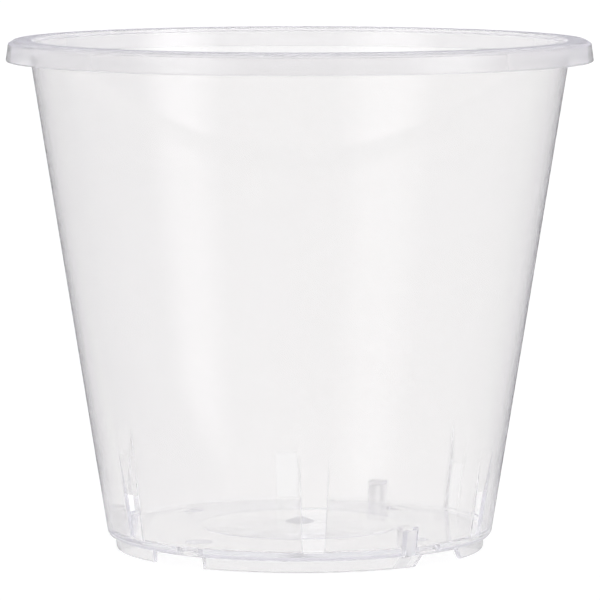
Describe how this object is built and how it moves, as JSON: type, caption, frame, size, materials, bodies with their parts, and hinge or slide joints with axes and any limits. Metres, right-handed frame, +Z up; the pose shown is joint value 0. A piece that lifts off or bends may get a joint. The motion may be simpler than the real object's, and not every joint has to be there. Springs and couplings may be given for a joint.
{
  "type": "orchid pot",
  "caption": "Clear tapered orchid pot with a hanging rim skirt, open slots low in the wall, a drained floor and short arc feet.",
  "frame": {"origin": "centre of the plane that the four feet stand on", "axes": "+Z up along the pot's axis; one of the slots faces -Y"},
  "size_m": [0.15, 0.15, 0.1304],
  "materials": {
    "clear_plastic": "clear polypropylene with a slight haze, glossy inside and outside"
  },
  "bodies": {
    "root": {"rim_collar": "clear_plastic", "side_wall": "clear_plastic", "slotted_band": "clear_plastic", "floor_plate": "clear_plastic", "centre_disc": "clear_plastic", "stacking_lug_1": "clear_plastic", "stacking_lug_2": "clear_plastic", "stacking_lug_3": "clear_plastic", "foot_front": "clear_plastic", "foot_right": "clear_plastic", "foot_back": "clear_plastic", "foot_left": "clear_plastic"}
  },
  "joints": []
}
